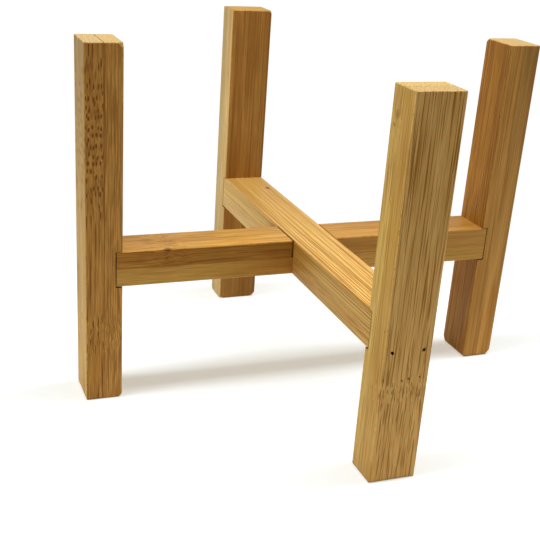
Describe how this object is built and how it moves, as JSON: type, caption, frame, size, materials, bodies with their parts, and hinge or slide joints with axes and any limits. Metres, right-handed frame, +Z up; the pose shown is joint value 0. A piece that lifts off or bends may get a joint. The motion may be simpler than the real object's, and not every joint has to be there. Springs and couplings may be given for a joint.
{
  "type": "plant stand",
  "caption": "Low knock-down plant stand: upright rectangular legs on a cross of halved rails, all of laminated bamboo, with a pot seated between the legs.",
  "frame": {"origin": "on the floor under the middle of the stand, where the rails cross", "axes": "+X along the lower rail towards the right leg, +Y along the upper rail towards the back leg, +Z up"},
  "size_m": [0.203, 0.203, 0.152],
  "materials": {
    "bamboo_tan": "sanded bamboo strip, pale tan, thin satin lacquer",
    "bamboo_golden": "sanded bamboo strip, golden, with brown fibre lines, thin satin lacquer",
    "bamboo_amber": "sanded bamboo strip, amber brown, with darker fibre dashes, thin satin lacquer",
    "brad_steel": "bright wire brad"
  },
  "bodies": {
    "lower_frame": {"lower_rail_bottom_strip": "bamboo_tan", "lower_rail_top_strip_left": "bamboo_amber", "lower_rail_top_strip_right": "bamboo_amber", "left_leg_outer_strip": "bamboo_tan", "left_leg_inner_strip": "bamboo_amber", "right_leg_outer_strip": "bamboo_amber", "right_leg_inner_strip": "bamboo_golden", "left_leg_brad_front": "brad_steel", "left_leg_brad_back": "brad_steel", "right_leg_brad_front": "brad_steel", "right_leg_brad_back": "brad_steel"},
    "upper_frame": {"upper_rail_top_strip": "bamboo_golden", "upper_rail_bottom_strip_front": "bamboo_tan", "upper_rail_bottom_strip_back": "bamboo_tan", "front_leg_outer_strip": "bamboo_golden", "front_leg_inner_strip": "bamboo_tan", "back_leg_outer_strip": "bamboo_amber", "back_leg_inner_strip": "bamboo_tan", "front_leg_brad_left": "brad_steel", "front_leg_brad_right": "brad_steel", "back_leg_brad_left": "brad_steel", "back_leg_brad_right": "brad_steel"}
  },
  "joints": [
    {"name": "upper_frame_lift", "type": "slide", "parent": "lower_frame", "child": "upper_frame", "axis": [0, 0, 1], "range_m": [0, 0.02]}
  ]
}
